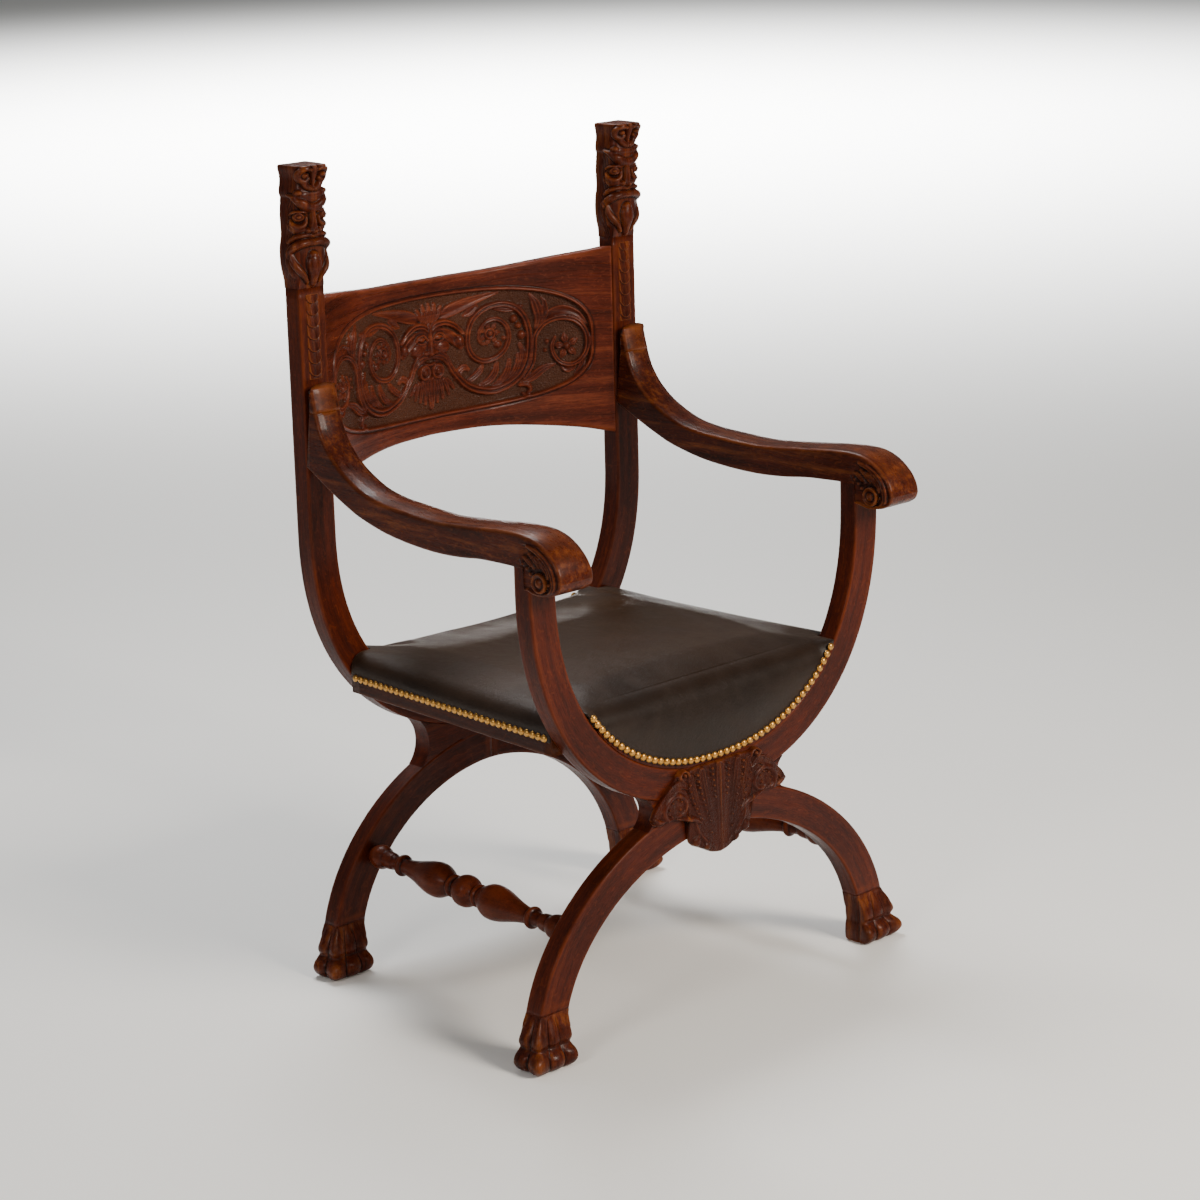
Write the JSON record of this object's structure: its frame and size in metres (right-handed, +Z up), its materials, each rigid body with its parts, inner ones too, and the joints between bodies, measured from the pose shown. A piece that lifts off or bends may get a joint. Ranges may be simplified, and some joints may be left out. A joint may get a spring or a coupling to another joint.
{
  "type": "savonarola chair",
  "caption": "Carved oak Savonarola armchair: curved X-shaped frames on paw feet, barrel back board with masks, scrolled arms and a leather seat with close brass nails.",
  "frame": {"origin": "on the floor, at the bottom centre of the whole chair", "axes": "+Z up, -Y the way the sitter faces (front), +X to the right of somebody who looks at the chair's front"},
  "size_m": [0.72, 0.622, 1.116],
  "materials": {
    "dark_oak": "dark red-brown varnish, worn on the edges",
    "black_leather": "satin",
    "brass_nails": "antique, darkened",
    "jute": "woven",
    "horsehair_pad": "felted",
    "screw_steel": "bright"
  },
  "bodies": {
    "root": {"arch_dowels": "dark_oak", "arm_dowels": "dark_oak", "arm_left": "dark_oak", "arm_right": "dark_oak", "arm_rosettes": "dark_oak", "arm_screws": "screw_steel", "arm_shoulder_left": "dark_oak", "arm_shoulder_right": "dark_oak", "back_panel": "dark_oak", "bow_dowels": "dark_oak", "cartouche": "dark_oak", "corner_block_front_left": "dark_oak", "corner_block_front_right": "dark_oak", "corner_block_rear_left": "dark_oak", "corner_block_rear_right": "dark_oak", "finial_dowels": "dark_oak", "front_bow_left": "dark_oak", "front_bow_right": "dark_oak", "front_crossing_block": "dark_oak", "front_leg_left": "dark_oak", "front_leg_right": "dark_oak", "mask_finial_left": "dark_oak", "mask_finial_right": "dark_oak", "nails_front": "brass_nails", "nails_left": "brass_nails", "nails_rear": "brass_nails", "nails_right": "brass_nails", "paw_dowels": "dark_oak", "paw_front_left": "dark_oak", "paw_front_right": "dark_oak", "paw_rear_left": "dark_oak", "paw_rear_right": "dark_oak", "rear_bow_left": "dark_oak", "rear_bow_right": "dark_oak", "rear_crossing_block": "dark_oak", "rear_leg_left": "dark_oak", "rear_leg_right": "dark_oak", "scale_strip_left": "dark_oak", "scale_strip_right": "dark_oak", "screw_plugs": "dark_oak", "seat_burlap": "jute", "seat_leather": "black_leather", "seat_pad": "horsehair_pad", "seat_rail_front": "dark_oak", "seat_rail_left": "dark_oak", "seat_rail_rear": "dark_oak", "seat_rail_right": "dark_oak", "seat_webbing": "jute", "side_stretcher_left": "dark_oak", "side_stretcher_right": "dark_oak"}
  },
  "joints": []
}
